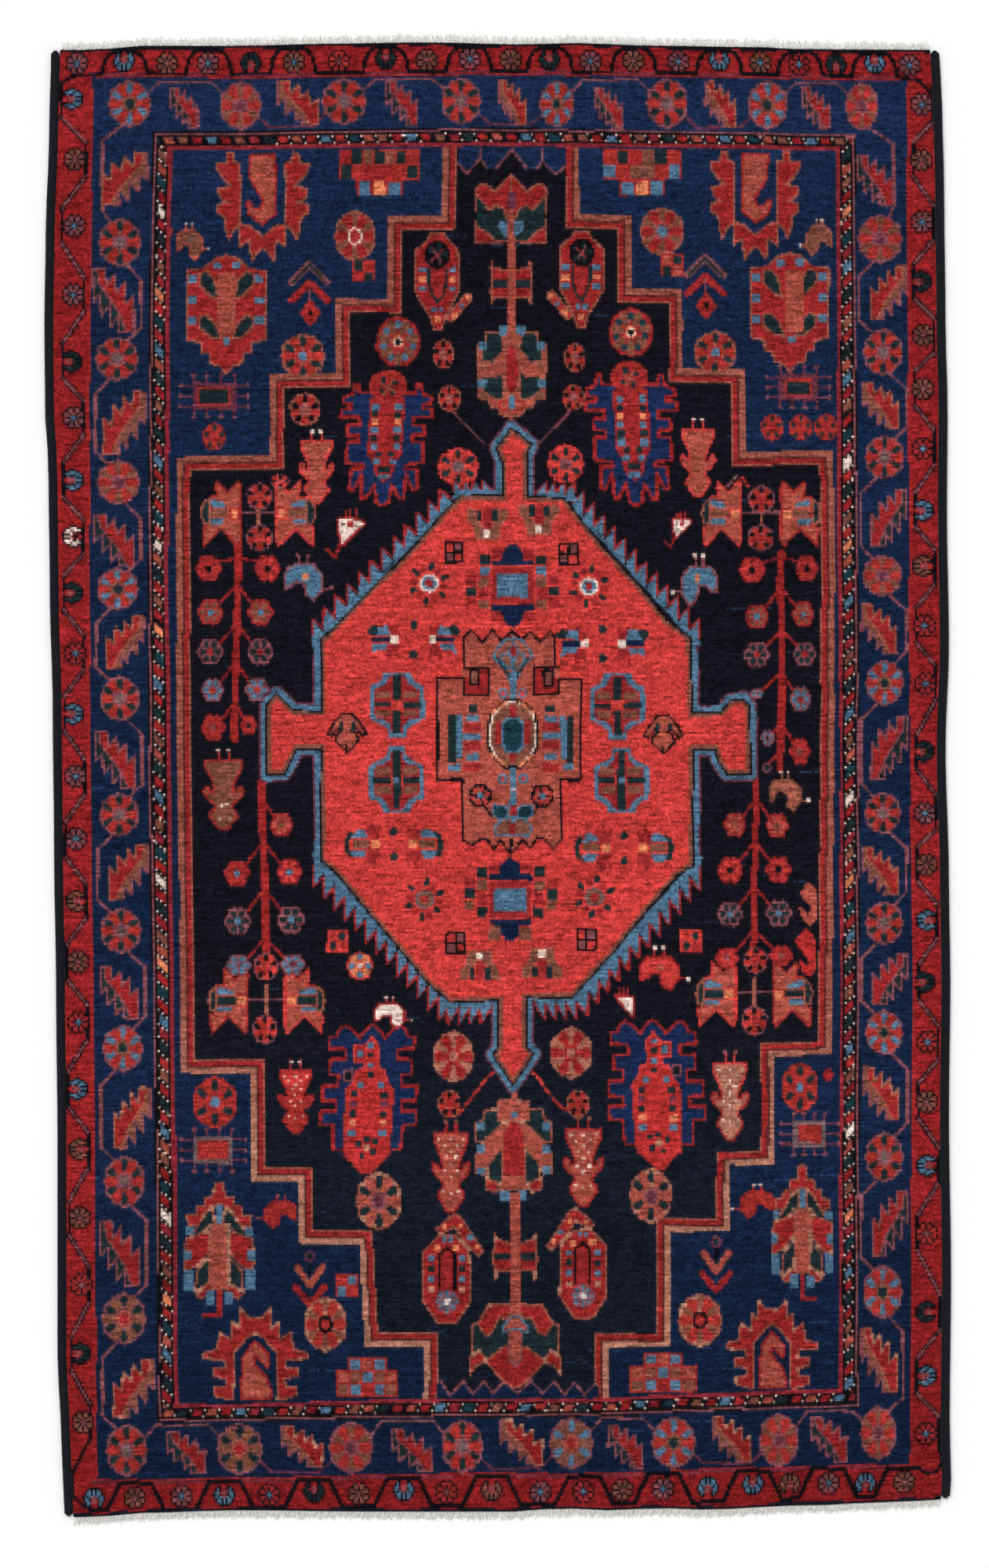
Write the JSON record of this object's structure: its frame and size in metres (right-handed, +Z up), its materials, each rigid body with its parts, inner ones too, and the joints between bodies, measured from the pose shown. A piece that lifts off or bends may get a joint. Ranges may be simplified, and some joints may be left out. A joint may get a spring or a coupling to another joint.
{
  "type": "persian rug",
  "caption": "Hand-knotted wool village rug with a long red medallion on a dark field, three borders, overcast side edges and short cotton fringes.",
  "frame": {"origin": "on the floor, under the middle of the rug's extent", "axes": "+X across the width to the right side, +Y along the length to the end at the top of the picture, +Z up, out of the pile"},
  "size_m": [1.311, 2.1588, 0.009],
  "materials": {
    "wool_pile": "matt hand-spun wool pile, close clipped, in madder red with navy, coral, green, brown, blue and ivory",
    "selvedge_wool": "matt overcast wool yarn, near-black navy",
    "cotton_warp": "matt cream cotton, loosely twisted and frayed"
  },
  "bodies": {
    "root": {"knotted_body": "wool_pile", "selvedge_left": "selvedge_wool", "selvedge_right": "selvedge_wool", "fringe_top": "cotton_warp", "fringe_bottom": "cotton_warp"}
  },
  "joints": []
}
